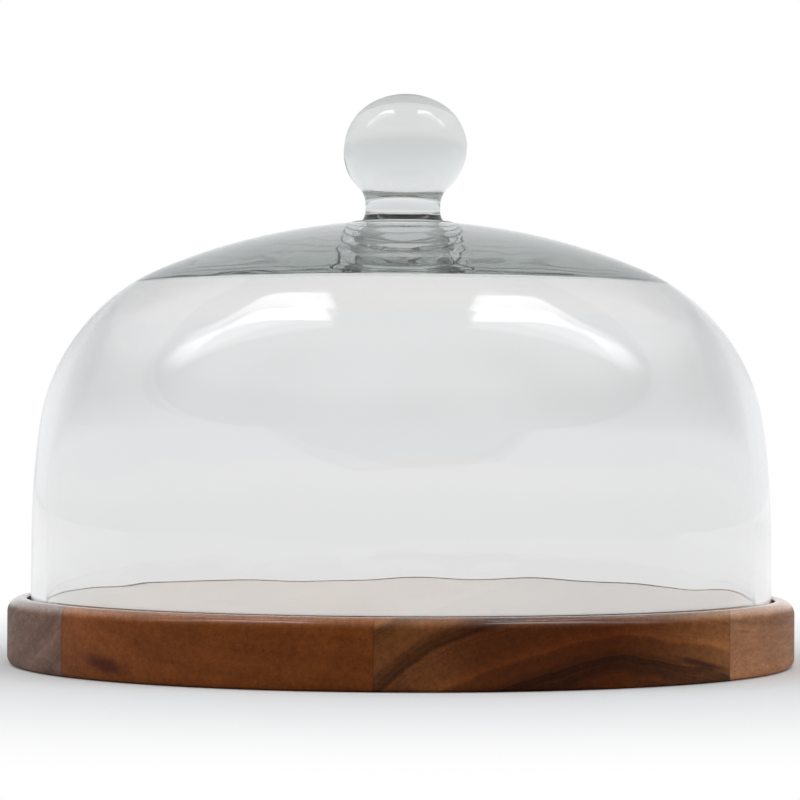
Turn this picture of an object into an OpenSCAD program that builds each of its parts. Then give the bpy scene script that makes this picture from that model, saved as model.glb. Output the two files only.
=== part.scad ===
// Cheese dome: a blown glass bell with a ball knob, standing in the groove of a round wooden board.
// Millimetres, +Z up, with the origin at the centre of the board's underside.

/* [Glass bell] */
// Outside diameter of the bell's straight wall
bell_d = 282.4; // [230:0.2:345]
// Height of the bell from its rim to the top of its crown
bell_h = 148.6; // [124:0.2:180]
// Thickness of the glass from the rim up to the shoulder
glass_wall = 5.5; // [4.4:0.1:6.6]
// Thickness of the glass in the middle of the crown
crown_wall = 5.5; // [4.6:0.1:6.6]
// Thickness of the glass at the shoulder's thinnest, where the inside of the crown ends
shoulder_wall = 2.6; // [2.2:0.1:3.1]
// Height of the straight wall above the rim
straight_wall_h = 25.5; // [15:0.5:32]
// Radius of the long bow above the straight wall
side_r = 335; // [280:1:400]
// Radius of the shoulder
shoulder_r = 76.5; // [68:0.5:92]
// How far down the shoulder the inside of the crown reaches, in degrees
inner_crown_reach = 10; // [8:0.5:12]
// Round on the inside between the crown and the shoulder
inner_corner_r = 12; // [8:0.5:20]
// Radius of the crown
crown_r = 236; // [195:1:285]

/* [Glass knob] */
// Largest diameter of the ball
ball_d = 47.4; // [38:0.2:58]
// How far the round of the ball's side is set out from the axis
ball_spread = 3.2; // [1:0.1:5]
// How much larger the round on the ball's top is than the one on its side
ball_flattening = 7.7; // [6:0.1:12]
// Diameter of the neck at its narrowest
neck_d = 28.8; // [23:0.2:35]
// Radius of the hollow between the neck and the ball
neck_hollow_r = 9; // [7:0.5:12]
// Length of the straight part of the neck
neck_straight_h = 1.8; // [1:0.1:6]
// Radius of the flare at the bottom of the neck
flare_r = 8; // [7:0.5:12]
// Height of that flare
flare_h = 5.5; // [4:0.1:6.6]
// Diameter of the foot that is fused to the crown
foot_d = 40.6; // [36:0.2:50]
// Thickness of the foot at its edge
foot_edge_t = 0.5; // [0.3:0.1:1]

/* [Board] */
// Thickness of the board
board_t = 25; // [18:0.5:32]
// Width of the lip outside the groove
lip_w = 7.3; // [7:0.1:12]
// Round on the board's upper edge
upper_round = 5.3; // [2:0.1:5.5]
// Round on the board's lower edge
lower_round = 3; // [1:0.1:6]

/* [Groove] */
// Depth of the groove that the bell's rim stands in
groove_depth = 5; // [4:0.1:7]
// Gap between the groove's outer side and the glass
outer_gap = 1.5; // [0.5:0.1:3]
// Gap between the groove's inner side and the glass
inner_gap = 1; // [0.5:0.1:3]
// Round on the groove's two upper edges
groove_round = 0.8; // [0.3:0.1:1.5]
// Gap left between the resting rim and the bottom of the groove
rim_gap = 0.3; // [0.2:0.05:0.5]

/* [Staves] */
// Width of the two full staves
stave_w = 118; // [98:1:124]
// How far the middle glue line lies to the right of the board's centre
middle_glue_line = 9; // [0:0.5:11]
// Turn of the glue lines about the upright axis
stave_turn = -7; // [-20:1:20]

/* [Hidden] */
$fn = 240;
// Furthest that the short straight steps of an outline may stray from their arc
arc_error = 0.02;

bell_r = bell_d / 2;
groove_floor_z = board_t - groove_depth;
rim_z = groove_floor_z + rim_gap;
crown_z = rim_z + bell_h;
side_z = rim_z + straight_wall_h;

groove_outer_r = bell_r + outer_gap;
groove_inner_r = bell_r - glass_wall - inner_gap;
board_r = groove_outer_r + lip_w;

// Centres of the bell's three arcs, each tangent to the next.
crown_centre = [0, crown_z - crown_r];
side_centre = [bell_r - side_r, side_z];
shoulder_centre = meeting_point(crown_centre, crown_r - shoulder_r, side_centre, side_r - shoulder_r);
crown_angle = direction(crown_centre, shoulder_centre);
side_angle = direction(side_centre, shoulder_centre);

// The thinnest point of the glass, on the inside of the shoulder.
corner_angle = crown_angle - inner_crown_reach;
corner = shoulder_centre + (shoulder_r - shoulder_wall) * [cos(corner_angle), sin(corner_angle)];

// The inside of the crown is an arc from its middle to that point.
inner_crown_z = crown_z - crown_wall;
inner_crown_drop = inner_crown_z - corner[1];
inner_crown_r = (corner[0] * corner[0] + inner_crown_drop * inner_crown_drop) / (2 * inner_crown_drop);
inner_crown_centre = [0, inner_crown_z - inner_crown_r];

// The inside of the shoulder is an arc from that point down to the side, which it meets where the outside does.
inner_side_r = side_r - glass_wall;
shoulder_cosine = cos(corner_angle - side_angle);
inner_shoulder_r = (shoulder_r - shoulder_wall - (shoulder_r - glass_wall) * shoulder_cosine) / (1 - shoulder_cosine);
inner_shoulder_centre = side_centre + (inner_side_r - inner_shoulder_r) * [cos(side_angle), sin(side_angle)];

// A small round joins the two.
inner_corner_centre = meeting_point(inner_crown_centre, inner_crown_r - inner_corner_r,
    inner_shoulder_centre, inner_shoulder_r - inner_corner_r);
inner_crown_angle = direction(inner_crown_centre, inner_corner_centre);
inner_shoulder_angle = direction(inner_shoulder_centre, inner_corner_centre);

// The knob stands on a flat as wide as its foot, cut into the crown.
foot_r = foot_d / 2;
seat_z = crown_centre[1] + sqrt(crown_r * crown_r - foot_r * foot_r);

neck_r = neck_d / 2;
ball_side_r = ball_d / 2 - ball_spread;
ball_top_r = ball_side_r + ball_flattening;
flare_z = seat_z + flare_h;
hollow_centre = [neck_r + neck_hollow_r, flare_z + neck_straight_h];
hollow_reach = neck_hollow_r + ball_side_r;
ball_offset = hollow_centre[0] - ball_spread;
ball_centre = [ball_spread, hollow_centre[1] + sqrt(hollow_reach * hollow_reach - ball_offset * ball_offset)];
ball_top_rise = sqrt(ball_flattening * ball_flattening - ball_spread * ball_spread);
ball_top_centre = [0, ball_centre[1] - ball_top_rise];
hollow_angle = direction(ball_centre, hollow_centre);

// Direction in degrees from one point to another.
function direction(from, to) = atan2(to[1] - from[1], to[0] - from[0]);

// The right-hand point that lies r1 from c1 and r2 from c2.
function meeting_point(c1, r1, c2, r2) =
    let (
        gap = norm(c2 - c1),
        along = (r1 * r1 - r2 * r2 + gap * gap) / (2 * gap),
        across = sqrt(r1 * r1 - along * along),
        unit = (c2 - c1) / gap
    )
    c1 + along * unit + across * [unit[1], -unit[0]];

// Points along an arc from one direction to another, close enough together to stay within arc_error of it.
function arc(centre, r, from, to) =
    let (steps = ceil(abs(to - from) / (2 * acos(1 - arc_error / r))))
    [for (i = [0:steps]) let (a = from + (to - from) * i / steps) centre + r * [cos(a), sin(a)]];

// The bell's outline from the edge of the knob's seat down the outside, round the rim and up the inside.
module bell_profile() {
    rim_r = glass_wall / 2;
    polygon(concat(
        [[0, seat_z]],
        arc(crown_centre, crown_r, direction(crown_centre, [foot_r, seat_z]), crown_angle),
        arc(shoulder_centre, shoulder_r, crown_angle, side_angle),
        arc(side_centre, side_r, side_angle, 0),
        arc([bell_r - rim_r, rim_z + rim_r], rim_r, 0, -180),
        arc(side_centre, inner_side_r, 0, side_angle),
        arc(inner_shoulder_centre, inner_shoulder_r, side_angle, inner_shoulder_angle),
        arc(inner_corner_centre, inner_corner_r, inner_shoulder_angle, inner_crown_angle),
        arc(inner_crown_centre, inner_crown_r, inner_crown_angle, 90)
    ));
}

// The knob's outline from its foot up the neck and over the ball.
module knob_profile() {
    flare_centre = [neck_r + flare_r, flare_z];
    foot_top_z = seat_z + foot_edge_t;
    flare_angle = 180 + asin((flare_z - foot_top_z) / flare_r);
    ball_angle = direction(ball_top_centre, ball_centre);
    polygon(concat(
        [[0, seat_z], [foot_r, seat_z], [foot_r, foot_top_z]],
        arc(flare_centre, flare_r, flare_angle, 180),
        arc(hollow_centre, neck_hollow_r, 180, 180 + hollow_angle),
        arc(ball_centre, ball_side_r, hollow_angle, ball_angle),
        arc(ball_top_centre, ball_top_r, ball_angle, 90)
    ));
}

// The board's outline from the middle of its underside round the lip, through the groove and back to the middle.
module board_profile() {
    lip_top_z = board_t - upper_round;
    groove_top_z = board_t - groove_round;
    polygon(concat(
        [[0, 0]],
        arc([board_r - lower_round, lower_round], lower_round, -90, 0),
        arc([board_r - upper_round, lip_top_z], upper_round, 0, 90),
        arc([groove_outer_r + groove_round, groove_top_z], groove_round, 90, 180),
        [[groove_outer_r, groove_floor_z], [groove_inner_r, groove_floor_z]],
        arc([groove_inner_r - groove_round, groove_top_z], groove_round, 0, 90),
        [[0, board_t]]
    ));
}

// The stretch of the board between two distances from its centre, measured square to the glue lines.
module stave(from, to) {
    intersection() {
        rotate_extrude() board_profile();
        rotate([0, 0, stave_turn])
            translate([from, -board_r - 1, -1])
                cube([to - from, 2 * board_r + 2, board_t + 2]);
    }
}

module glass_bell() {
    color([0.88, 0.92, 0.92, 0.35]) rotate_extrude() bell_profile();
}

module glass_knob() {
    color([0.84, 0.90, 0.89, 0.45]) rotate_extrude() knob_profile();
}

module left_edge_stave() {
    color([0.33, 0.25, 0.20]) stave(-board_r - 1, middle_glue_line - stave_w);
}

module left_stave() {
    color([0.41, 0.22, 0.11]) stave(middle_glue_line - stave_w, middle_glue_line);
}

module right_stave() {
    color([0.38, 0.24, 0.12]) stave(middle_glue_line, middle_glue_line + stave_w);
}

module right_edge_stave() {
    color([0.45, 0.30, 0.19]) stave(middle_glue_line + stave_w, board_r + 1);
}

glass_bell();
glass_knob();
left_edge_stave();
left_stave();
right_stave();
right_edge_stave();
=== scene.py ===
import math

import bmesh
import bpy
from bpy.props import FloatProperty, FloatVectorProperty, PointerProperty
from mathutils import Euler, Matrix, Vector, noise


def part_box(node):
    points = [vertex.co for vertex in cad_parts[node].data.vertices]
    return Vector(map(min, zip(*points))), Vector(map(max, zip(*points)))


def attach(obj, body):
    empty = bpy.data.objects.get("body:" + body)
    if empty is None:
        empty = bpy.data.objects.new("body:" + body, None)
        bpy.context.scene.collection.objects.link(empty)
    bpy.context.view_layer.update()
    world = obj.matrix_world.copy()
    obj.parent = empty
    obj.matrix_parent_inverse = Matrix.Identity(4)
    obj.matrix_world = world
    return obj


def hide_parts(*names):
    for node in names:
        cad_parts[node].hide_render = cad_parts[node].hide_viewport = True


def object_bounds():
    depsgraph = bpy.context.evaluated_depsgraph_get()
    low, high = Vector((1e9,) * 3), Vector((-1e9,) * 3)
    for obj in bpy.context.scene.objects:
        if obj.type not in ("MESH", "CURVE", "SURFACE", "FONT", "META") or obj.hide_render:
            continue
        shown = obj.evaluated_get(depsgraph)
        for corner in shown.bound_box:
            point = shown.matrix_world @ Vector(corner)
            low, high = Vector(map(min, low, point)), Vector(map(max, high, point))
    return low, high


bl_info = {
    "name": "Cheese Dome",
    "version": (1, 0, 0),
    "blender": (4, 5, 0),
    "location": "3D View > Sidebar > Cheese Dome",
    "description": "Makes a blown glass bell on a round board of glued wooden staves",
    "category": "Add Mesh",
}

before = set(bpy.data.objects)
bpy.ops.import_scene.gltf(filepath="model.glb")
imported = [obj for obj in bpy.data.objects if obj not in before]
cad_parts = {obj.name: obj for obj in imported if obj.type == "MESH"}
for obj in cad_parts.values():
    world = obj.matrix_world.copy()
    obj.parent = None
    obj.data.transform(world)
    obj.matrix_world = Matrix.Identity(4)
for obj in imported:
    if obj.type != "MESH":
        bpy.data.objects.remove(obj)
CAD_LO, CAD_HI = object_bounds()
BELL_LO, BELL_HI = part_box("glass_bell")
KNOB_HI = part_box("glass_knob")[1]
BOARD_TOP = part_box("left_stave")[1].z
BOARD_RADIUS = min(CAD_HI.x, CAD_HI.y, -CAD_LO.x, -CAD_LO.y)

MM = 0.001
UP = Vector((0, 0, 1))
BELL_SEGMENTS = 192
BOARD_SEGMENTS = 256
WELD = 0.001 * MM
CREASE = math.radians(35)


# ---------------------------------------------------------------- settings

class BellSettings(bpy.types.PropertyGroup):
    wall: FloatProperty(
        name="Wall", description="Thickness of the glass from the rim to the shoulder",
        default=5.5 * MM, unit="LENGTH")
    crown_wall: FloatProperty(
        name="Crown wall", description="Thickness of the glass in the middle of the crown",
        default=5.5 * MM, unit="LENGTH")
    shoulder_wall: FloatProperty(
        name="Shoulder wall", description="Thickness of the glass at the shoulder's thinnest",
        default=2.6 * MM, unit="LENGTH")
    straight_wall: FloatProperty(
        name="Straight wall", description="Height of the rim's straight stretch", default=25.5 * MM,
        unit="LENGTH")
    side_radius: FloatProperty(
        name="Side radius", description="Radius of the side's slow upright curve", default=335 * MM,
        unit="LENGTH")
    shoulder_radius: FloatProperty(
        name="Shoulder radius", description="Radius of the shoulder's curve", default=76.5 * MM,
        unit="LENGTH")
    crown_reach: FloatProperty(
        name="Crown reach", description="How far down the shoulder the inside of the crown goes",
        default=math.radians(10), subtype="ANGLE")
    inner_corner: FloatProperty(
        name="Inner corner", description="Round on the inside between crown and shoulder",
        default=12 * MM, unit="LENGTH")
    crown_radius: FloatProperty(
        name="Crown radius", description="Radius of the crown's curve", default=236 * MM, unit="LENGTH")
    ripple: FloatProperty(
        name="Ripple", description="How far the blown wall strays from true", default=0.1 * MM,
        unit="LENGTH")
    glass_colour: FloatVectorProperty(
        name="Glass colour", description="Tint that each face of the glass gives", subtype="COLOR",
        size=3, default=(0.985, 0.985, 0.985), min=0, max=1)


class KnobSettings(bpy.types.PropertyGroup):
    ball_spread: FloatProperty(
        name="Ball spread", description="How far out the centre of the ball's side curve lies",
        default=3.2 * MM, unit="LENGTH")
    ball_flattening: FloatProperty(
        name="Ball flattening", description="How much larger the radius of the ball's top curve is",
        default=7.7 * MM, unit="LENGTH")
    neck_radius: FloatProperty(
        name="Neck radius", description="Radius of the neck at its waist", default=14.4 * MM,
        unit="LENGTH")
    neck_hollow: FloatProperty(
        name="Neck hollow", description="Radius of the curve between neck and ball", default=9 * MM,
        unit="LENGTH")
    neck_straight: FloatProperty(
        name="Neck straight", description="Height of the waist's straight stretch", default=1.8 * MM,
        unit="LENGTH")
    flare_radius: FloatProperty(
        name="Flare radius", description="Radius of the curve at the foot of the neck",
        default=8 * MM, unit="LENGTH")
    flare_height: FloatProperty(
        name="Flare height", description="Height of the flare above the foot's seat",
        default=5.5 * MM, unit="LENGTH")
    foot_radius: FloatProperty(
        name="Foot radius", description="Radius of the knob's fused foot", default=20.3 * MM,
        unit="LENGTH")
    foot_edge: FloatProperty(
        name="Foot edge", description="Radius of the rounded edge where the foot is fused on",
        default=0.5 * MM, unit="LENGTH")
    lean: FloatProperty(
        name="Lean", description="How far the ball stands off the bell's axis", default=1.1 * MM,
        unit="LENGTH")


class BoardSettings(bpy.types.PropertyGroup):
    lip: FloatProperty(
        name="Lip", description="Width of the lip outside the groove", default=7.3 * MM, unit="LENGTH")
    groove_width: FloatProperty(
        name="Groove width", description="Width of the groove", default=8 * MM, unit="LENGTH")
    groove_depth: FloatProperty(
        name="Groove depth", description="Depth of the groove", default=5 * MM, unit="LENGTH")
    groove_round: FloatProperty(
        name="Groove round", description="Rounding of the groove's two edges", default=0.8 * MM,
        unit="LENGTH")
    upper_round: FloatProperty(
        name="Upper round", description="Rounding of the rim's upper edge", default=5.3 * MM,
        unit="LENGTH")
    lower_round: FloatProperty(
        name="Lower round", description="Rounding of the rim's lower edge", default=3 * MM,
        unit="LENGTH")
    stave_width: FloatProperty(
        name="Stave width", description="Width of a full stave", default=118 * MM, unit="LENGTH")
    middle_line: FloatProperty(
        name="Middle glue line", description="Distance of the middle glue line from the centre",
        default=9 * MM, unit="LENGTH")
    stave_turn: FloatProperty(
        name="Stave turn", description="How far the staves are turned about the upright axis",
        default=math.radians(-7), subtype="ANGLE")
    left_edge_colour: FloatVectorProperty(
        name="Left edge colour", description="Grey-brown wood of the left edge", subtype="COLOR",
        size=3, default=(0.175, 0.103, 0.078), min=0, max=1)
    left_colour: FloatVectorProperty(
        name="Left colour", description="Red-brown heartwood of the wide left stave",
        subtype="COLOR", size=3, default=(0.155, 0.042, 0.007), min=0, max=1)
    left_sapwood: FloatVectorProperty(
        name="Left sapwood", description="Paler wood that the wide left stave turns to",
        subtype="COLOR", size=3, default=(0.26, 0.085, 0.030), min=0, max=1)
    right_colour: FloatVectorProperty(
        name="Right colour", description="Olive-brown heartwood of the wide right stave",
        subtype="COLOR", size=3, default=(0.069, 0.0138, 0.0008), min=0, max=1)
    right_sapwood: FloatVectorProperty(
        name="Right sapwood", description="Paler wood that the wide right stave turns to",
        subtype="COLOR", size=3, default=(0.27, 0.106, 0.034), min=0, max=1)
    right_edge_colour: FloatVectorProperty(
        name="Right edge colour", description="Tan wood of the right edge", subtype="COLOR",
        size=3, default=(0.365, 0.168, 0.082), min=0, max=1)


class StageSettings(bpy.types.PropertyGroup):
    camera_distance: FloatProperty(
        name="Camera distance", description="Distance of the camera from the dome's axis",
        default=1.2, unit="LENGTH")
    camera_height: FloatProperty(
        name="Camera height", description="Height of the camera above the floor", default=0.08505,
        unit="LENGTH")
    aim_height: FloatProperty(
        name="Aim height", description="Height on the axis that the camera looks at",
        default=0.10035, unit="LENGTH")
    camera_side: FloatProperty(
        name="Camera side", description="How far the camera stands to the right of the axis",
        default=-0.7 * MM, unit="LENGTH")
    camera_roll: FloatProperty(
        name="Camera roll", description="How far the camera is rolled", default=math.radians(0.26),
        subtype="ANGLE")
    lens: FloatProperty(
        name="Lens", description="Focal length in millimetres", default=140.5, min=20, max=400)
    softbox_strength: FloatProperty(
        name="Softbox strength", description="Brightness of the two softboxes", default=5.2, min=0)
    floor_colour: FloatVectorProperty(
        name="Floor colour", description="Colour of the floor", subtype="COLOR", size=3,
        default=(0.82, 0.82, 0.82), min=0, max=1)


# ---------------------------------------------------------------- nodes

def add_node(tree, kind, inputs=None, **settings):
    """Adds a node. An input given as a socket is linked, and any other is set."""
    node = tree.nodes.new(kind)
    for name, value in settings.items():
        setattr(node, name, value)
    for name, value in (inputs or {}).items():
        if isinstance(value, bpy.types.NodeSocket):
            tree.links.new(value, node.inputs[name])
        else:
            node.inputs[name].default_value = value
    return node


def maths(tree, operation, *values):
    """Output of a Math node that works on these values or sockets."""
    return add_node(tree, "ShaderNodeMath", dict(enumerate(values)), operation=operation).outputs[0]


def diagonal(tree, a, b):
    """Output that is the length of the diagonal over two sides."""
    squares = maths(tree, "ADD", maths(tree, "MULTIPLY", a, a), maths(tree, "MULTIPLY", b, b))
    return maths(tree, "SQRT", squares)


def fade(tree, value, start, end, low=0.0, high=1.0):
    """Output that goes smoothly from low to high as value goes from start to end."""
    node = add_node(tree, "ShaderNodeMapRange", {
        "Value": value, "From Min": start, "From Max": end, "To Min": low, "To Max": high,
    }, interpolation_type="SMOOTHSTEP")
    return node.outputs["Result"]


def blend(tree, factor, a, b):
    """Output of a plain mix of two numbers."""
    node = add_node(tree, "ShaderNodeMix", {"Factor": factor, "A": a, "B": b}, data_type="FLOAT")
    return node.outputs["Result"]


def tint(tree, factor, a, b, how="MIX"):
    """Output of a mix of two colours, whose sockets go by index because their names are shared."""
    node = add_node(tree, "ShaderNodeMix", {0: factor, 6: a, 7: b}, data_type="RGBA", blend_type=how)
    return node.outputs[2]


def stain(tree, amount, colour, tone):
    """Output of a colour that is multiplied by a tone, as far as amount says."""
    return tint(tree, amount, colour, tint(tree, 1.0, colour, tone, "MULTIPLY"))


def ramp(tree, factor, stops):
    """Output of a colour ramp with these (position, colour) stops."""
    node = add_node(tree, "ShaderNodeValToRGB", {"Fac": factor})
    elements = node.color_ramp.elements
    while len(elements) < len(stops):
        elements.new(1.0)
    for element, (position, colour) in zip(elements, stops):
        element.position = position
        element.color = (*colour, 1)
    return node.outputs["Color"]


def new_group(name, inputs, outputs):
    """An empty shader group with these (name, kind, default) inputs and (name, kind) outputs."""
    tree = bpy.data.node_groups.new(name, "ShaderNodeTree")
    for label, kind, default in inputs:
        socket = tree.interface.new_socket(label, in_out="INPUT", socket_type=kind)
        if default is not None:
            socket.default_value = default
    for label, kind in outputs:
        tree.interface.new_socket(label, in_out="OUTPUT", socket_type=kind)
    return tree, tree.nodes.new("NodeGroupInput").outputs, tree.nodes.new("NodeGroupOutput").inputs


def use_group(tree, group, inputs):
    """Places a group in a material and returns its outputs."""
    return add_node(tree, "ShaderNodeGroup", inputs, node_tree=bpy.data.node_groups[group]).outputs


def new_material(name):
    """An empty material with its tree, Principled shader and output."""
    material = bpy.data.materials.new(name)
    material.use_nodes = True
    tree = material.node_tree
    tree.nodes.clear()
    shader = tree.nodes.new("ShaderNodeBsdfPrincipled")
    output = tree.nodes.new("ShaderNodeOutputMaterial")
    tree.links.new(shader.outputs["BSDF"], output.inputs["Surface"])
    return material, tree, shader, output


# The stave's length counts for this share in its figure, so that the figure runs along the stave.
FIGURE_STRETCH = 0.16
# The edge of a pore, as distances from the middle of its cell, from clear wood to full dark.
PORE_EDGE = (0.42, 0.22)
# The edge of a streak, as shares of its size, from clear wood to full dark, and how ragged it is.
STREAK_EDGE, STREAK_RAGGED = (1.1, 0.15), 1.6


def build_growth_rings():
    """Bands of growth round a pith line that runs along the stave."""
    tree, given, result = new_group("Growth rings", (
        ("Vector", "NodeSocketVector", None),
        ("Pith across", "NodeSocketFloat", 0.1),
        ("Pith height", "NodeSocketFloat", -0.1),
        ("Pith slope", "NodeSocketFloat", 0.05),
        ("Band width", "NodeSocketFloat", 0.01),
        ("Wander", "NodeSocketFloat", 0.01),
        ("Seed", "NodeSocketFloat", 0.0),
    ), (("Bands", "NodeSocketFloat"), ("Clouds", "NodeSocketFloat")))
    across, along, height = add_node(tree, "ShaderNodeSeparateXYZ", {0: given["Vector"]}).outputs
    drift = maths(tree, "MULTIPLY_ADD", along, given["Pith slope"], given["Pith across"])
    aside = maths(tree, "SUBTRACT", across, drift)
    above = maths(tree, "SUBTRACT", height, given["Pith height"])
    radius = diagonal(tree, aside, above)
    shortened = maths(tree, "MULTIPLY", along, FIGURE_STRETCH)
    stretched = add_node(tree, "ShaderNodeCombineXYZ", {0: across, 1: shortened, 2: height}).outputs[0]
    bend = add_node(tree, "ShaderNodeTexNoise", {
        "Vector": stretched, "W": given["Seed"], "Scale": 20, "Detail": 3, "Roughness": 0.5,
    }, noise_dimensions="4D").outputs[0]
    strayed = maths(tree, "MULTIPLY_ADD", maths(tree, "SUBTRACT", bend, 0.5), given["Wander"], radius)
    place = maths(tree, "ADD", maths(tree, "DIVIDE", strayed, given["Band width"]), given["Seed"])
    bands = add_node(tree, "ShaderNodeTexNoise", {
        "W": place, "Scale": 1, "Detail": 4, "Roughness": 0.62,
    }, noise_dimensions="1D").outputs[0]
    clouds = add_node(tree, "ShaderNodeTexNoise", {
        "Vector": stretched, "W": maths(tree, "ADD", given["Seed"], 7), "Scale": 75, "Detail": 4,
        "Roughness": 0.6,
    }, noise_dimensions="4D").outputs[0]
    tree.links.new(bands, result["Bands"])
    tree.links.new(clouds, result["Clouds"])


def build_fibres():
    """Fibres and pores: streaks along the stave, and dots where it is cut across."""
    tree, given, result = new_group("Fibres and pores", (
        ("Vector", "NodeSocketVector", None),
        ("Fibre length", "NodeSocketFloat", 30.0),
        ("Pore density", "NodeSocketFloat", 0.5),
        ("Seed", "NodeSocketFloat", 0.0),
    ), (("Fibres", "NodeSocketFloat"), ("Pores", "NodeSocketFloat"), ("Speckle", "NodeSocketFloat")))
    across, along, height = add_node(tree, "ShaderNodeSeparateXYZ", {0: given["Vector"]}).outputs
    short = maths(tree, "DIVIDE", along, given["Fibre length"])
    stretched = add_node(tree, "ShaderNodeCombineXYZ", {0: across, 1: short, 2: height}).outputs[0]
    fibres = add_node(tree, "ShaderNodeTexNoise", {
        "Vector": stretched, "W": given["Seed"], "Scale": 1100, "Detail": 3, "Roughness": 0.7,
    }, noise_dimensions="4D").outputs[0]
    speckle = add_node(tree, "ShaderNodeTexNoise", {
        "Vector": stretched, "W": maths(tree, "ADD", given["Seed"], 3), "Scale": 420, "Detail": 4,
        "Roughness": 0.75,
    }, noise_dimensions="4D").outputs[0]
    cells = add_node(tree, "ShaderNodeTexVoronoi", {
        "Vector": stretched, "W": given["Seed"], "Scale": 950, "Randomness": 1,
    }, voronoi_dimensions="4D").outputs
    chance = add_node(tree, "ShaderNodeSeparateColor", {0: cells["Color"]}).outputs[0]
    kept = maths(tree, "LESS_THAN", chance, given["Pore density"])
    dot = fade(tree, cells["Distance"], *PORE_EDGE)
    tree.links.new(fibres, result["Fibres"])
    tree.links.new(speckle, result["Speckle"])
    tree.links.new(maths(tree, "MULTIPLY", dot, kept), result["Pores"])


def build_streak():
    """A soft dark patch that runs along the stave at one place in its section."""
    tree, given, result = new_group("Heart streak", (
        ("Vector", "NodeSocketVector", None),
        ("Across", "NodeSocketFloat", 0.0),
        ("Height", "NodeSocketFloat", 0.0),
        ("Width", "NodeSocketFloat", 0.01),
        ("Depth", "NodeSocketFloat", 0.005),
        ("Tilt", "NodeSocketFloat", 0.0),
        ("Noise", "NodeSocketFloat", 0.5),
    ), (("Streak", "NodeSocketFloat"),))
    across, _, height = add_node(tree, "ShaderNodeSeparateXYZ", {0: given["Vector"]}).outputs
    aside = maths(tree, "SUBTRACT", across, given["Across"])
    above = maths(tree, "SUBTRACT", height, given["Height"])
    level = maths(tree, "MULTIPLY_ADD", aside, given["Tilt"], above)
    wide = maths(tree, "DIVIDE", aside, given["Width"])
    deep = maths(tree, "DIVIDE", level, given["Depth"])
    reach = diagonal(tree, wide, deep)
    stray = maths(tree, "SUBTRACT", given["Noise"], 0.5)
    ragged = maths(tree, "MULTIPLY_ADD", stray, STREAK_RAGGED, reach)
    tree.links.new(fade(tree, ragged, *STREAK_EDGE), result["Streak"])


# ---------------------------------------------------------------- materials

def make_glass(settings):
    """Clear blown glass, faintly green where it is thick."""
    material, tree, shader, output = new_material("clear_glass")
    shader.inputs["Base Color"].default_value = (*settings.glass_colour, 1)
    shader.inputs["Roughness"].default_value = 0.0
    shader.inputs["IOR"].default_value = 1.5
    shader.inputs["Transmission Weight"].default_value = 1.0
    body = add_node(tree, "ShaderNodeVolumeAbsorption", {
        "Color": (0.0, 0.11, 0.07, 1), "Density": 4.8,
    })
    tree.links.new(body.outputs[0], output.inputs["Volume"])
    return material


# How each stave is sawn and coloured. Pith is the place of the tree's middle in the stave's section,
# across and up, and slope is how far it runs aside. Band is the width of a growth band. Sapwood lists
# how much of the paler wood shows at these distances across the board, and streak is the place, size
# and tilt of one dark streak in the section.
WOOD = {
    "left_edge_stave": dict(
        slot="grey_brown_wood", colour="left_edge_colour", pith=(-0.16, 0.06), slope=0.04, band=0.012,
        seed=2.0, contrast=0.5),
    "left_stave": dict(
        slot="red_brown_wood", colour="left_colour", paler="left_sapwood", pith=(-0.02, 0.16),
        slope=-0.08, band=0.016, seed=11.0, contrast=0.3,
        sapwood=((-0.109, 0.6), (-0.08, 0.2), (-0.04, 0.03), (0.009, 0.0)),
        streak=dict(Across=-0.0895, Height=0.006, Width=0.012, Depth=0.0035, Tilt=0.15)),
    "right_stave": dict(
        slot="olive_brown_wood", colour="right_colour", paler="right_sapwood", pith=(0.10, -0.093),
        slope=0.06, band=0.011, seed=5.3, contrast=0.95,
        sapwood=((0.009, 0.44), (0.028, 0.36), (0.045, 0.08), (0.088, 0.0), (0.105, 0.18),
                 (0.127, 0.85)),
        streak=dict(Across=0.1175, Height=0.0072, Width=0.012, Depth=0.0016, Tilt=0.34)),
    "right_edge_stave": dict(
        slot="tan_wood", colour="right_edge_colour", pith=(0.12, -0.10), slope=0.05, band=0.014,
        seed=8.0, contrast=0.35),
}


# Tones that the wood's colour is multiplied by, and how much of a tone shows at most.
CLOUD_TONE, CLOUD_SPAN = (0.62, 0.60, 0.56, 1), (0.3, 0.75, 0.0, 0.55)
STREAK_TONE = (0.42, 0.36, 0.55, 1)
PORE_TONE, PORE_MOST = (0.30, 0.28, 0.25, 1), 0.25
GLUE_TONE, GLUE_MOST = (0.2, 0.2, 0.2, 1), 0.4
# Tone that makes the board's top paler and bluer: a painted sheen that stands in for the white studio
# mirrored by the top at a low angle.
TOP_SHEEN_TONE = (2.0, 2.3, 2.6, 1)
FIBRE_TONES = ((0.25, (0.78, 0.76, 0.74)), (0.75, (1.18, 1.18, 1.18)))
SPECKLE_TONES = ((0.3, (0.80, 0.77, 0.74)), (0.7, (1.20, 1.22, 1.24)))
# Tones of the growth bands from late wood to early wood: where, the tone, and what contrast adds to it.
BAND_TONES = ((0.30, 1.0, -0.62), (0.46, 1.0, 0.0), (0.60, 1.12, 0.0), (0.74, 1.0, 0.75))

# Half the width of a glue line where it is darkest and where it ends, and the depths below the top
# between which the top's varnish and its painted pale sheen give way to the rim's.
GLUE_DARK, GLUE_REACH = 0.05 * MM, 0.35 * MM
TOP_COAT_AND_SHEEN_FULL, TOP_COAT_AND_SHEEN_END = 0.5 * MM, 4 * MM
RIM_VARNISH, TOP_VARNISH = 0.06, 1.0
# Roughness of the wood from its dark specks to its pale ones, and how much rougher a pore is.
SPECKLE_ROUGHNESS, PORE_ROUGHNESS = (0.3, 0.7, 0.62, 0.50), 0.2
# How high the fibres stand, where a pore is 1 deep.
FIBRE_RELIEF = 0.35


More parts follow.
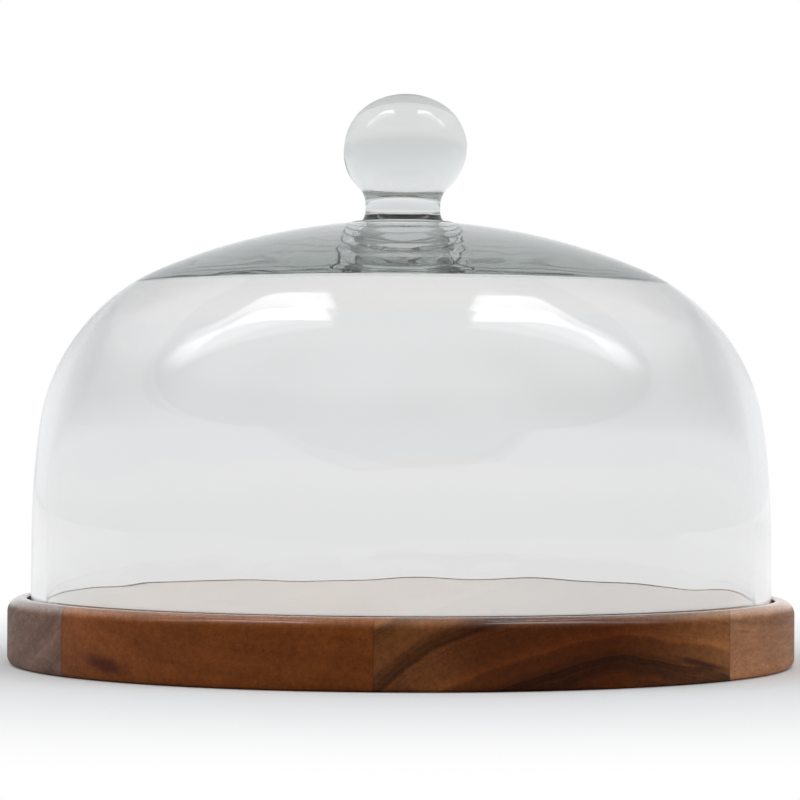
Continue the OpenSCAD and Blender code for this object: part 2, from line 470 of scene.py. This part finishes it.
def make_wood(name, settings, low, high):
    """Varnished hardwood with growth bands, fibres, pores and thin glue lines at low and high, and a
    painted pale sheen on its top.
    """
    look = WOOD[name]
    contrast = look["contrast"]
    material, tree, shader, _ = new_material(look["slot"])
    place = add_node(tree, "ShaderNodeTexCoord").outputs["Object"]
    turned = add_node(tree, "ShaderNodeMapping", {
        "Vector": place, "Rotation": (0, 0, -settings.stave_turn),
    }).outputs[0]
    across, _, height = add_node(tree, "ShaderNodeSeparateXYZ", {0: turned}).outputs
    rings = use_group(tree, "Growth rings", {
        "Vector": turned, "Pith across": look["pith"][0], "Pith height": look["pith"][1],
        "Pith slope": look["slope"], "Band width": look["band"], "Wander": 0.016, "Seed": look["seed"],
    })
    grain = use_group(tree, "Fibres and pores", {"Vector": turned, "Seed": look["seed"]})
    wood = (*getattr(settings, look["colour"]), 1)
    if "sapwood" in look:
        reach = CAD_HI.x - CAD_LO.x
        share = maths(tree, "MULTIPLY_ADD", across, 1 / reach, 0.5)
        amount = ramp(tree, share, [(x / reach + 0.5, (v, v, v)) for x, v in look["sapwood"]])
        wood = tint(tree, amount, wood, (*getattr(settings, look["paler"]), 1))
    tones = [(position, middle + more * contrast) for position, middle, more in BAND_TONES]
    figure = ramp(tree, rings["Bands"], [(position, (tone, tone, tone)) for position, tone in tones])
    figured = tint(tree, 1.0, wood, figure, "MULTIPLY")
    clouds = fade(tree, rings["Clouds"], *CLOUD_SPAN)
    clouded = stain(tree, clouds, figured, CLOUD_TONE)
    if "streak" in look:
        streak = use_group(tree, "Heart streak", {
            "Vector": turned, "Noise": rings["Clouds"], **look["streak"],
        })["Streak"]
        clouded = stain(tree, streak, clouded, STREAK_TONE)
    fibrous = tint(tree, 1.0, clouded, ramp(tree, grain["Fibres"], FIBRE_TONES), "MULTIPLY")
    speckled = tint(tree, 1.0, fibrous, ramp(tree, grain["Speckle"], SPECKLE_TONES), "MULTIPLY")
    pored = stain(tree, maths(tree, "MULTIPLY", grain["Pores"], PORE_MOST), speckled, PORE_TONE)
    glue = 0.0
    for line in (low, high):
        if line is not None:
            near = maths(tree, "ABSOLUTE", maths(tree, "SUBTRACT", across, line))
            glue = maths(tree, "MAXIMUM", fade(tree, near, GLUE_REACH, GLUE_DARK), glue)
    glued = stain(tree, maths(tree, "MULTIPLY", glue, GLUE_MOST), pored, GLUE_TONE)
    # Near the top the colour is multiplied by a pale bluish tone, a painted sheen of the mirrored
    # studio, and the same mask also raises the real varnish.
    flat = fade(tree, height, BOARD_TOP - TOP_COAT_AND_SHEEN_END, BOARD_TOP - TOP_COAT_AND_SHEEN_FULL)
    sheened = stain(tree, flat, glued, TOP_SHEEN_TONE)
    tree.links.new(sheened, shader.inputs["Base Color"])
    plain = fade(tree, grain["Speckle"], *SPECKLE_ROUGHNESS)
    roughness = maths(tree, "MULTIPLY_ADD", grain["Pores"], PORE_ROUGHNESS, plain)
    tree.links.new(roughness, shader.inputs["Roughness"])
    raised = maths(tree, "MULTIPLY", grain["Fibres"], FIBRE_RELIEF)
    relief = maths(tree, "SUBTRACT", raised, grain["Pores"])
    shader.inputs["Specular IOR Level"].default_value = 0.05
    varnish = fade(tree, flat, 0.0, 1.0, RIM_VARNISH, TOP_VARNISH)
    tree.links.new(varnish, shader.inputs["Coat Weight"])
    shader.inputs["Coat Roughness"].default_value = 0.11
    bump = add_node(tree, "ShaderNodeBump", {
        "Height": relief, "Strength": 0.35, "Distance": 0.06 * MM,
    })
    tree.links.new(bump.outputs[0], shader.inputs["Normal"])
    return material


# ---------------------------------------------------------------- meshes

def heading(centre, point):
    """Direction from a centre to a point of an outline, in the plane of X and Z."""
    return math.atan2(point.z - centre.z, point.x - centre.x)


def at(centre, radius, angle):
    """Point of an outline that lies this far from a centre, in this direction."""
    return centre + radius * Vector((math.cos(angle), 0, math.sin(angle)))


def meeting_point(a, reach_a, b, reach_b):
    """The outer point that lies reach_a from a and reach_b from b."""
    gap = b - a
    along = (reach_a ** 2 - reach_b ** 2 + gap.length_squared) / (2 * gap.length)
    across = math.sqrt(reach_a ** 2 - along ** 2)
    unit = gap.normalized()
    return a + along * unit + across * Vector((unit.z, 0, -unit.x))


class Outline:
    """A chain of edges in the plane of X and Z, drawn with arcs and straight runs."""

    def __init__(self, start):
        self.bm = bmesh.new()
        self.tip = self.bm.verts.new(start)

    def line(self, end, step=None):
        """A straight run, cut into steps of about this length."""
        start = self.tip.co.copy()
        count = 1 if step is None else max(1, round((end - start).length / step))
        for _ in range(count):
            made = bmesh.ops.extrude_vert_indiv(self.bm, verts=[self.tip])
            self.tip = made["verts"][0]
            bmesh.ops.translate(self.bm, verts=[self.tip], vec=(end - start) / count)

    def arc(self, centre, end_angle, step):
        """An arc of less than half a turn about a centre, up to this direction from it."""
        radius = (self.tip.co - centre).length
        turn = (end_angle - heading(centre, self.tip.co) + math.pi) % (2 * math.pi) - math.pi
        count = max(2, round(abs(turn) * radius / step))
        made = bmesh.ops.spin(self.bm, geom=[self.tip], cent=centre, axis=(0, -1, 0), angle=turn,
                              steps=count)
        self.tip = next(v for v in made["geom_last"] if isinstance(v, bmesh.types.BMVert))

    def turn(self, segments):
        """Spins the outline all the way round the upright axis and closes its poles."""
        bmesh.ops.spin(self.bm, geom=self.bm.verts[:] + self.bm.edges[:], cent=(0, 0, 0), axis=UP,
                       angle=2 * math.pi, steps=segments, use_merge=True)
        bmesh.ops.remove_doubles(self.bm, verts=self.bm.verts, dist=WELD)
        bmesh.ops.recalc_face_normals(self.bm, faces=self.bm.faces)
        return self.bm


def outline_point(x, z):
    """Point of an outline at this distance from the upright axis and this height."""
    return Vector((x, 0, z))


def clamp(value):
    """The value, kept from 0 to 1."""
    return min(1, max(0, value))


def finish_piece(name, bm, body, nodes, material):
    """Turns a bmesh into a shaded piece that rides on a body and stands for CAD nodes."""
    for face in bm.faces:
        face.smooth = True
    for edge in bm.edges:
        edge.smooth = len(edge.link_faces) == 2 and edge.calc_face_angle(0) < CREASE
    mesh = bpy.data.meshes.new(name)
    bm.to_mesh(mesh)
    bm.free()
    piece = bpy.data.objects.new(name, mesh)
    bpy.context.scene.collection.objects.link(piece)
    piece.data.materials.append(material)
    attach(piece, body)
    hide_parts(*nodes)


# Direction in which the rounded edge of the knob's foot stops, above level.
FOOT_EDGE_END = math.radians(35)


def bell_outline(bell, knob):
    """The glass from the top of the ball down the outside, round the rim and up the inside."""
    # Lengths of the steps that the curves are cut into.
    edge, tight, rim = 0.15 * MM, 0.3 * MM, 0.5 * MM
    fine, middling, coarse = 0.9 * MM, 1.6 * MM, 3 * MM

    # The outside runs smoothly from the crown over the shoulder into the side.
    radius, rim_z, seat = BELL_HI.x, BELL_LO.z, BELL_HI.z
    side_z = rim_z + bell.straight_wall
    crown_centre = outline_point(0, seat - math.sqrt(bell.crown_radius ** 2 - knob.foot_radius ** 2))
    side_centre = outline_point(radius - bell.side_radius, side_z)
    shoulder_centre = meeting_point(crown_centre, bell.crown_radius - bell.shoulder_radius,
                                    side_centre, bell.side_radius - bell.shoulder_radius)
    crown_angle = heading(crown_centre, shoulder_centre)
    side_angle = heading(side_centre, shoulder_centre)

    # The inside of the crown thins towards the shoulder, and turns into it at a small round corner.
    corner_angle = crown_angle - bell.crown_reach
    corner = at(shoulder_centre, bell.shoulder_radius - bell.shoulder_wall, corner_angle)
    inner_top = crown_centre.z + bell.crown_radius - bell.crown_wall
    drop = inner_top - corner.z
    inner_crown = (corner.x ** 2 + drop ** 2) / (2 * drop)
    inner_crown_centre = outline_point(0, inner_top - inner_crown)
    cosine = math.cos(corner_angle - side_angle)
    inner_shoulder = (bell.shoulder_radius - bell.shoulder_wall
                      - (bell.shoulder_radius - bell.wall) * cosine) / (1 - cosine)
    inner_shoulder_centre = at(side_centre, bell.side_radius - bell.wall - inner_shoulder, side_angle)
    corner_centre = meeting_point(inner_crown_centre, inner_crown - bell.inner_corner,
                                  inner_shoulder_centre, inner_shoulder - bell.inner_corner)

    # The knob's flare, neck and ball touch one another smoothly, over a foot that is fused on.
    flare_z = seat + knob.flare_height
    flare_centre = outline_point(knob.neck_radius + knob.flare_radius, flare_z)
    hollow_centre = outline_point(knob.neck_radius + knob.neck_hollow, flare_z + knob.neck_straight)
    ball_radius = KNOB_HI.x - knob.ball_spread
    ball_reach = math.sqrt((knob.neck_hollow + ball_radius) ** 2
                           - (hollow_centre.x - knob.ball_spread) ** 2)
    ball_centre = outline_point(knob.ball_spread, hollow_centre.z + ball_reach)
    top_centre = outline_point(0, ball_centre.z - math.sqrt(
        knob.ball_flattening ** 2 - knob.ball_spread ** 2))
    foot_top = seat + knob.foot_edge
    edge_centre = outline_point(knob.foot_radius - knob.foot_edge, seat)
    fused = crown_centre.z + math.sqrt(bell.crown_radius ** 2 - (knob.foot_radius + knob.foot_edge) ** 2)
    rim_centre = outline_point(radius - bell.wall / 2, rim_z + bell.wall / 2)

    outline = Outline(outline_point(0, KNOB_HI.z))
    outline.arc(top_centre, heading(top_centre, ball_centre), fine)
    outline.arc(ball_centre, heading(ball_centre, hollow_centre), fine)
    outline.arc(hollow_centre, math.pi, fine)
    outline.line(outline_point(knob.neck_radius, flare_z), fine)
    outline.arc(flare_centre, math.pi + math.asin((flare_z - foot_top) / knob.flare_radius), fine)
    outline.line(outline_point(edge_centre.x, foot_top), fine)
    outline.arc(edge_centre, FOOT_EDGE_END, edge)
    outline.line(outline_point(knob.foot_radius + knob.foot_edge, fused))
    outline.arc(crown_centre, crown_angle, fine)
    outline.arc(shoulder_centre, side_angle, middling)
    outline.arc(side_centre, 0, coarse)
    outline.line(outline_point(radius, rim_centre.z), coarse)
    outline.arc(rim_centre, -math.pi / 2, rim)
    outline.arc(rim_centre, -math.pi, rim)
    outline.line(outline_point(radius - bell.wall, side_z), coarse)
    outline.arc(side_centre, side_angle, coarse)
    outline.arc(inner_shoulder_centre, heading(inner_shoulder_centre, corner_centre), middling)
    outline.arc(corner_centre, heading(inner_crown_centre, corner_centre), tight)
    outline.arc(inner_crown_centre, math.pi / 2, fine)
    return outline


# Above the first height the wall's swells give way to the crown's tool marks, below the second one the
# wall has a closer swell as well, and each change takes the third.
CROWN_FROM, LOW_FROM, CHANGE = 135 * MM, 55 * MM, 20 * MM
# How closely each kind of ripple comes, in steps of noise per metre, and its share of the full depth.
SWELL_RATE, CLOSE_RATE, SLOW_RATE, RING_RATE = 24, 45, 9, 130
CLOSE_SHARE, SLOW_SHARE, RING_SHARE = 1.1, 1.5, 0.5
# Shifts in the noise that give the slow swells and the inner face ripples of their own.
SLOW_PLACE, INNER_PLACE = Vector((5, 3, 1)), Vector((0.4, 0.2, 0))
# How much a ring of tool marks changes on its way round, where 0 is an even ring.
RING_CHANGE = 0.5
# Height above the rounded rim over which the ripples start, and how soon the knob's lean is full.
RIPPLE_START, LEAN_RATE = 6 * MM, 1.6


def ripple_at(place, depth):
    """How far the blown glass strays here: slow swells, and rings of tool marks on the crown."""
    crown = clamp((place.z - CROWN_FROM) / CHANGE)
    low = clamp((LOW_FROM - place.z) / CHANGE)
    swell = noise.noise(place * SWELL_RATE) * depth
    swell += noise.noise(place * CLOSE_RATE) * depth * CLOSE_SHARE * low
    slow = noise.noise(place * SLOW_RATE + SLOW_PLACE) * depth * SLOW_SHARE
    out = place.to_2d()
    way = out.normalized() * RING_CHANGE
    ring = noise.noise(Vector((out.length * RING_RATE, way.x, way.y))) * depth * RING_SHARE
    return (swell + slow) * (1 - crown) + ring * crown


def add_bell(bell, knob):
    """The bell and its knob, which are one piece of glass, with the wall's ripples and the lean."""
    bm = bell_outline(bell, knob).turn(BELL_SEGMENTS)
    inside = Vector((0, 0, BELL_HI.z - bell.crown_radius))
    rim_top = BELL_LO.z + bell.wall
    moves = []
    bm.normal_update()
    for vert in bm.verts:
        held = clamp((vert.co.z - rim_top) / RIPPLE_START)
        inner = vert.normal.dot(vert.co - inside) < 0
        place = vert.co + INNER_PLACE if inner else vert.co
        moves.append(vert.normal * ripple_at(place, bell.ripple) * held)
    for vert, move in zip(bm.verts, moves):
        rise = (vert.co.z - BELL_HI.z) / (KNOB_HI.z - BELL_HI.z)
        lean = knob.lean * clamp(rise * LEAN_RATE) ** 2
        vert.co += move
        vert.co.x += lean
    finish_piece("glass_bell_and_knob", bm, "bell", ("glass_bell", "glass_knob"), make_glass(bell))


def board_outline(board):
    """The board from the middle of its underside round the lip, through the groove and back."""
    # Lengths of the steps that the curves and flats are cut into.
    fine, middling, coarse, flat = 0.2 * MM, 0.5 * MM, 6 * MM, 12 * MM
    lip_inner = BOARD_RADIUS - board.lip
    well_outer = lip_inner - board.groove_width
    edge = board.groove_round
    floor = BOARD_TOP - board.groove_depth
    upper, lower = board.upper_round, board.lower_round
    outline = Outline(outline_point(0, 0))
    outline.line(outline_point(BOARD_RADIUS - lower, 0), flat)
    outline.arc(outline_point(BOARD_RADIUS - lower, lower), 0, middling)
    outline.line(outline_point(BOARD_RADIUS, BOARD_TOP - upper), coarse)
    outline.arc(outline_point(BOARD_RADIUS - upper, BOARD_TOP - upper), math.pi / 2, middling)
    outline.line(outline_point(lip_inner + edge, BOARD_TOP))
    outline.arc(outline_point(lip_inner + edge, BOARD_TOP - edge), math.pi, fine)
    outline.line(outline_point(lip_inner, floor))
    outline.line(outline_point(well_outer, floor))
    outline.line(outline_point(well_outer, BOARD_TOP - edge))
    outline.arc(outline_point(well_outer - edge, BOARD_TOP - edge), math.pi / 2, fine)
    outline.line(outline_point(0, BOARD_TOP), flat)
    return outline


def cut_stave(whole, low, high, turn):
    """The stretch of the board between two distances across the glue lines."""
    bm = whole.copy()
    across = Vector((math.cos(turn), math.sin(turn), 0))
    for line, outwards in ((low, -across), (high, across)):
        if line is None:
            continue
        geometry = bm.verts[:] + bm.edges[:] + bm.faces[:]
        cut = bmesh.ops.bisect_plane(bm, geom=geometry, dist=WELD / 10, plane_co=across * line,
                                     plane_no=outwards, clear_outer=True)
        rim = [e for e in cut["geom_cut"] if isinstance(e, bmesh.types.BMEdge)]
        bmesh.ops.edgeloop_fill(bm, edges=rim)
    bmesh.ops.recalc_face_normals(bm, faces=bm.faces)
    return bm


def add_staves(board):
    """The board as its four staves, each in its own wood."""
    whole = board_outline(board).turn(BOARD_SEGMENTS)
    middle, width = board.middle_line, board.stave_width
    lines = (None, middle - width, middle, middle + width, None)
    for (name, look), low, high in zip(WOOD.items(), lines, lines[1:]):
        bm = cut_stave(whole, low, high, board.stave_turn)
        material = make_wood(name, board, low, high)
        finish_piece(name + "_wood", bm, "board", (name,), material)
    whole.free()


# ---------------------------------------------------------------- stage

# Distances from the dome's foot over which the floor turns to plain white, as the camera sees it and
# as the glass and varnish show it.
WHITE_SEEN, WHITE_MIRRORED = (0.16, 0.42), (0.18, 0.4)
# How bright that white is, as start, end, brightness at the start and brightness at the end: mirrored,
# from front to back, and through the knob and through the bell, from near to far.
FLOOR_MIRRORED = (-0.7, 0.8, 0.38, 1.0)
FLOOR_THROUGH_KNOB = (0.4, 5.0, 0.90, 0.81)
FLOOR_THROUGH_BELL = (1.0, 6.0, 0.855, 0.89)
FLOOR_RADIUS = 14.0
FLOOR_SEGMENTS = 96
FLOOR_GAP = 0.05 * MM

# How bright the studio is in the same form, by how high or how far back a direction points.
STUDIO_THROUGH_KNOB = (0.0, 0.55, 0.81, 0.98)
STUDIO_THROUGH_BELL = (0.032, 0.006, 0.69, 0.89)
WALLS_FRONT_TO_BACK = (-0.4, 1.15, 0.42, 0.96)
WALLS_LOW_TO_HIGH = (0.06, 0.3, 1.0, 0.78)
CEILING_FROM, CEILING = (0.40, 0.65), 0.82
# How brightly it lights what is matt, and its colour off the board inside the bell and elsewhere.
ON_MATT = 0.72
OFF_BOARD, ELSEWHERE = (1.06, 1.035, 1.005, 1), (0.975, 0.987, 1.0, 1)
WHITE = (1, 1, 1, 1)

# A softbox on a ceiling. Distances, out to the side and back, are shares of the ceiling's height. A
# pair is where an edge starts and where it is full. Widths, soft edges and powers go from the inner
# end outwards, and the skirt is the pale cloth along the front.
CEILING_LEAST = 0.02
BOX_INNER_END, BOX_OUTER_END = (0.25, 0.29), (1.75, 1.15)
BOX_MIDDLE = (0.25, 0.55, -0.09, 0.055)
BOX_NEAR, BOX_FAR = (0.40, 0.75), (0.80, 1.20)
BOX_WIDTHS = (0.10, 0.035, 0.12)
BOX_EDGES = (0.02, 0.07)
BOX_POWERS = (1.0, 0.6, 0.42)
SKIRT_SLOPE, SKIRT_START, SKIRT_POWER = 0.17, -0.33, 0.26
SKIRT_FRONT, SKIRT_BACK = (-0.02, 0.04), (0.12, 0.0)


def has_depth(tree, depth):
    """Output that is 0 for a ray depth of 0 and 1 for any other."""
    return fade(tree, depth, 0.2, 0.8)


def through_bell(tree, path):
    """Output that is 1 for a ray that came through the bell's two walls, and 0 through the knob."""
    return fade(tree, path["Transmission Depth"], 2.2, 3.8)


def make_floor_material(settings):
    """Pale matt floor that keeps shadows near the dome and turns plain white farther out."""
    material, tree, shader, output = new_material("floor")
    shader.inputs["Base Color"].default_value = (*settings.floor_colour, 1)
    shader.inputs["Roughness"].default_value = 1.0
    shader.inputs["Specular IOR Level"].default_value = 0.0
    path = add_node(tree, "ShaderNodeLightPath").outputs
    glassy = maths(tree, "MAXIMUM", path["Is Glossy Ray"], path["Is Transmission Ray"])
    place = add_node(tree, "ShaderNodeTexCoord").outputs["Object"]
    distance = add_node(tree, "ShaderNodeVectorMath", {0: place}, operation="LENGTH").outputs["Value"]
    seen = maths(tree, "MULTIPLY", fade(tree, distance, *WHITE_SEEN), path["Is Camera Ray"])
    shown = maths(tree, "MULTIPLY", fade(tree, distance, *WHITE_MIRRORED), glassy)
    white = maths(tree, "MAXIMUM", seen, shown)
    back = add_node(tree, "ShaderNodeSeparateXYZ", {0: place}).outputs["Y"]
    mirrored = blend(tree, path["Is Camera Ray"], fade(tree, back, *FLOOR_MIRRORED), 1.0)
    through = blend(tree, through_bell(tree, path), fade(tree, distance, *FLOOR_THROUGH_KNOB),
                    fade(tree, distance, *FLOOR_THROUGH_BELL))
    strength = blend(tree, path["Is Transmission Ray"], mirrored, through)
    glow = add_node(tree, "ShaderNodeEmission", {"Color": WHITE, "Strength": strength})
    mix = add_node(tree, "ShaderNodeMixShader", {0: white, 1: shader.outputs[0], 2: glow.outputs[0]})
    tree.links.new(mix.outputs[0], output.inputs["Surface"])
    return material


def softbox(tree, direction, side):
    """How bright a long softbox is in this direction, laid out as on a ceiling overhead."""
    x, y, z = direction
    height = maths(tree, "MAXIMUM", z, CEILING_LEAST)
    out = maths(tree, "MULTIPLY", maths(tree, "DIVIDE", x, height), side)
    back = maths(tree, "DIVIDE", y, height)
    length = maths(tree, "MULTIPLY", fade(tree, out, *BOX_INNER_END), fade(tree, out, *BOX_OUTER_END))
    middle = fade(tree, out, *BOX_MIDDLE)
    core = maths(tree, "ABSOLUTE", maths(tree, "SUBTRACT", back, middle))
    near, far = fade(tree, out, *BOX_NEAR), fade(tree, out, *BOX_FAR)
    width = blend(tree, far, blend(tree, near, *BOX_WIDTHS[:2]), BOX_WIDTHS[2])
    soft = blend(tree, far, *BOX_EDGES)
    power = blend(tree, far, blend(tree, near, *BOX_POWERS[:2]), BOX_POWERS[2])
    outside = maths(tree, "DIVIDE", maths(tree, "SUBTRACT", core, width), soft)
    bright = maths(tree, "MULTIPLY", fade(tree, outside, 1.0, -1.0), power)
    front = maths(tree, "SUBTRACT", back, maths(tree, "MULTIPLY_ADD", out, SKIRT_SLOPE, SKIRT_START))
    skirt = maths(tree, "MULTIPLY", fade(tree, front, *SKIRT_FRONT), fade(tree, back, *SKIRT_BACK))
    pale = maths(tree, "MULTIPLY", skirt, SKIRT_POWER)
    return maths(tree, "MULTIPLY", maths(tree, "MAXIMUM", bright, pale), length)


def make_world(settings):
    """A pale studio: white backdrop, greyer front and ceiling, and two softboxes overhead."""
    world = bpy.data.worlds.new("studio")
    bpy.context.scene.world = world
    world.use_nodes = True
    tree = world.node_tree
    tree.nodes.clear()
    place = add_node(tree, "ShaderNodeTexCoord").outputs["Generated"]
    unit = add_node(tree, "ShaderNodeVectorMath", {0: place}, operation="NORMALIZE").outputs[0]
    x, y, z = add_node(tree, "ShaderNodeSeparateXYZ", {0: unit}).outputs
    path = add_node(tree, "ShaderNodeLightPath").outputs

    boxes = maths(tree, "ADD", softbox(tree, (x, y, z), -1), softbox(tree, (x, y, z), 1))
    boxes = maths(tree, "MULTIPLY", boxes, settings.softbox_strength)

    inside_bell = through_bell(tree, path)
    through = blend(tree, inside_bell, fade(tree, z, *STUDIO_THROUGH_KNOB),
                    fade(tree, z, *STUDIO_THROUGH_BELL))
    walls = maths(tree, "MULTIPLY", fade(tree, y, *WALLS_FRONT_TO_BACK),
                  fade(tree, z, *WALLS_LOW_TO_HIGH))
    mirrored = blend(tree, fade(tree, z, *CEILING_FROM), walls, CEILING)

    bounced = has_depth(tree, path["Glossy Depth"])
    matt = has_depth(tree, path["Diffuse Depth"])
    seen = blend(tree, bounced, through, mirrored)
    light = maths(tree, "ADD", blend(tree, matt, seen, ON_MATT), boxes)
    strength = blend(tree, path["Is Camera Ray"], light, 1.0)
    once = maths(tree, "MULTIPLY", bounced, fade(tree, path["Glossy Depth"], 1.8, 1.2))
    off_board = maths(tree, "MULTIPLY", once, inside_bell)
    shade = tint(tree, off_board, ELSEWHERE, OFF_BOARD)
    colour = tint(tree, path["Is Camera Ray"], shade, WHITE)
    background = add_node(tree, "ShaderNodeBackground", {"Color": colour, "Strength": strength})
    output = tree.nodes.new("ShaderNodeOutputWorld")
    tree.links.new(background.outputs[0], output.inputs["Surface"])


def add_floor(settings):
    """The floor, a hair below the board so that the two faces don't coincide."""
    bm = bmesh.new()
    bmesh.ops.create_circle(bm, cap_ends=True, segments=FLOOR_SEGMENTS, radius=FLOOR_RADIUS)
    bmesh.ops.translate(bm, verts=bm.verts, vec=(0, 0, -FLOOR_GAP))
    mesh = bpy.data.meshes.new("floor")
    bm.to_mesh(mesh)
    bm.free()
    floor = bpy.data.objects.new("floor", mesh)
    bpy.context.scene.collection.objects.link(floor)
    floor.data.materials.append(make_floor_material(settings))


def add_camera(settings):
    """The camera, level with the middle of the bell and tipped up a little."""
    data = bpy.data.cameras.new("camera")
    data.lens = settings.lens
    data.clip_end = 100
    camera = bpy.data.objects.new("camera", data)
    pitch = math.atan2(settings.aim_height - settings.camera_height, settings.camera_distance)
    camera.location = (settings.camera_side, -settings.camera_distance, settings.camera_height)
    camera.rotation_euler = (Euler((math.pi / 2 + pitch, 0, 0)).to_matrix()
                             @ Euler((0, 0, settings.camera_roll)).to_matrix()).to_euler()
    bpy.context.scene.collection.objects.link(camera)
    bpy.context.scene.camera = camera


# ---------------------------------------------------------------- operators

# Light that is guided between the two faces of the crown is mirrored this many times at most.
LIGHT_BOUNCES = 64


class DOME_OT_glass(bpy.types.Operator):
    """Add the blown glass bell with its knob"""
    bl_idname = "dome.add_glass"
    bl_label = "Glass Bell"

    def execute(self, context):
        add_bell(context.scene.dome_bell, context.scene.dome_knob)
        return {"FINISHED"}


class DOME_OT_staves(bpy.types.Operator):
    """Add the four wooden staves of the board"""
    bl_idname = "dome.add_staves"
    bl_label = "Board Staves"

    def execute(self, context):
        build_growth_rings()
        build_fibres()
        build_streak()
        add_staves(context.scene.dome_board)
        return {"FINISHED"}


class DOME_OT_stage(bpy.types.Operator):
    """Add the floor, the studio light and the camera"""
    bl_idname = "dome.add_stage"
    bl_label = "Stage"

    def execute(self, context):
        settings = context.scene.dome_stage
        add_floor(settings)
        make_world(settings)
        add_camera(settings)
        context.scene.view_settings.view_transform = "Standard"
        cycles = context.scene.cycles
        cycles.max_bounces = LIGHT_BOUNCES
        cycles.glossy_bounces = LIGHT_BOUNCES
        cycles.transmission_bounces = LIGHT_BOUNCES
        return {"FINISHED"}


class DOME_PT_panel(bpy.types.Panel):
    """Sizes, colours and buttons of the cheese dome"""
    bl_idname = "DOME_PT_panel"
    bl_label = "Cheese Dome"
    bl_space_type = "VIEW_3D"
    bl_region_type = "UI"
    bl_category = "Cheese Dome"

    def draw(self, context):
        for operator, groups in PANEL_ROWS:
            box = self.layout.box()
            for group in groups:
                settings = getattr(context.scene, group)
                for name in settings.bl_rna.properties.keys():
                    if name not in ("rna_type", "name"):
                        box.prop(settings, name)
            box.operator(operator)


PANEL_ROWS = (
    ("dome.add_glass", ("dome_bell", "dome_knob")),
    ("dome.add_staves", ("dome_board",)),
    ("dome.add_stage", ("dome_stage",)),
)
SETTINGS = {
    "dome_bell": BellSettings, "dome_knob": KnobSettings, "dome_board": BoardSettings,
    "dome_stage": StageSettings,
}
CLASSES = (*SETTINGS.values(), DOME_OT_glass, DOME_OT_staves, DOME_OT_stage, DOME_PT_panel)


def register():
    for cls in CLASSES:
        bpy.utils.register_class(cls)
    for name, group in SETTINGS.items():
        setattr(bpy.types.Scene, name, PointerProperty(type=group))


def unregister():
    for name in SETTINGS:
        delattr(bpy.types.Scene, name)
    for cls in reversed(CLASSES):
        bpy.utils.unregister_class(cls)


def main():
    register()
    bpy.ops.dome.add_stage()
    bpy.ops.dome.add_staves()
    bpy.ops.dome.add_glass()


if __name__ == "__main__":
    main()
